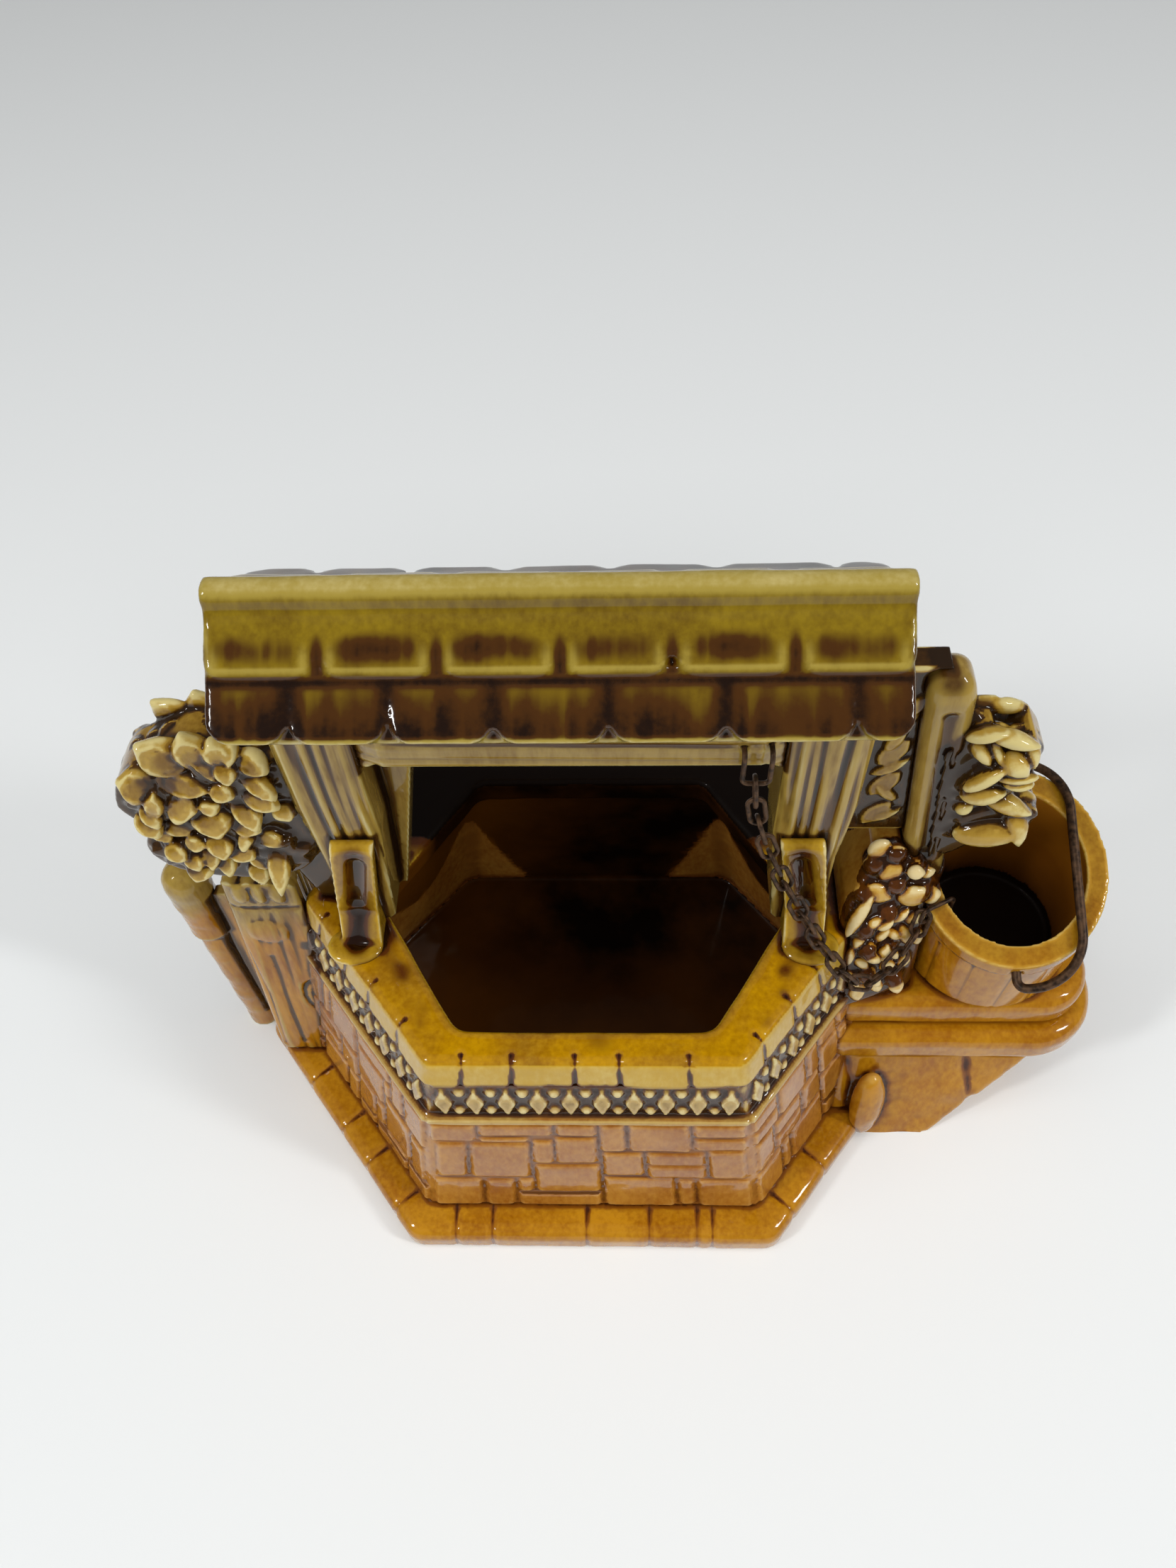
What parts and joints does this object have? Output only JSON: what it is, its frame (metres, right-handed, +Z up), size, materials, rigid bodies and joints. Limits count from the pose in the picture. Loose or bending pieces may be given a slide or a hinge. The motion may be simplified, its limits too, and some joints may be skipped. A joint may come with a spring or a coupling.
{
  "type": "wishing well planter",
  "caption": "Glazed six-sided wishing well planter with a shingled roof on plank posts, a chain, and a bucket with a wire bail on a side ledge.",
  "frame": {"origin": "middle of the plinth's flat underside, under the middle of the six-sided well", "axes": "+Z up, +X along the roof towards the ledge and bucket, the front of the well faces -Y"},
  "size_m": [0.2063, 0.106, 0.165],
  "materials": {
    "amber_glaze": "gloss",
    "olive_roof_glaze": "gloss",
    "ash_wood_glaze": "gloss",
    "leaf_glaze": "gloss",
    "dark_wire": "dull brown patina"
  },
  "bodies": {
    "root": {"berry_vine": "leaf_glaze", "bucket": "amber_glaze", "coping_rim": "amber_glaze", "fence_post": "ash_wood_glaze", "flower_bush": "leaf_glaze", "frieze_band": "amber_glaze", "leaf_panel": "leaf_glaze", "leaf_spray": "leaf_glaze", "ledge_lower_slab": "amber_glaze", "ledge_pier": "amber_glaze", "ledge_upper_slab": "amber_glaze", "left_post": "ash_wood_glaze", "left_post_foot": "ash_wood_glaze", "lintel": "ash_wood_glaze", "lintel_staple": "dark_wire", "plinth": "amber_glaze", "ridge_course": "olive_roof_glaze", "right_log": "ash_wood_glaze", "right_post": "ash_wood_glaze", "right_post_foot": "ash_wood_glaze", "rim_ring": "dark_wire", "roof_deck": "olive_roof_glaze", "shingles_back_lower": "olive_roof_glaze", "shingles_back_upper": "olive_roof_glaze", "shingles_front_lower": "olive_roof_glaze", "shingles_front_upper": "olive_roof_glaze", "tree_stump": "ash_wood_glaze", "well_wall": "amber_glaze"},
    "bail": {"bail": "dark_wire"},
    "chain": {"chain_link_01": "dark_wire", "chain_link_02": "dark_wire", "chain_link_03": "dark_wire", "chain_link_04": "dark_wire", "chain_link_05": "dark_wire", "chain_link_06": "dark_wire", "chain_link_07": "dark_wire", "chain_link_08": "dark_wire", "chain_link_09": "dark_wire", "chain_link_10": "dark_wire", "chain_link_11": "dark_wire", "chain_link_12": "dark_wire", "chain_link_13": "dark_wire", "chain_link_14": "dark_wire", "chain_link_15": "dark_wire", "chain_link_16": "dark_wire", "chain_link_17": "dark_wire", "chain_link_18": "dark_wire"}
  },
  "joints": [
    {"name": "bail_swing", "type": "hinge", "parent": "root", "child": "bail", "pos_m": [0.087, 0.00366, 0.07371], "axis": [0, -0.9336, -0.3584], "range_deg": [0, 130]},
    {"name": "chain_swing", "type": "hinge", "parent": "root", "child": "chain", "pos_m": [0.0304, -0.0078, 0.12288], "axis": [-0.6049, -0.0227, 0.796], "range_deg": [0, 25]}
  ]
}
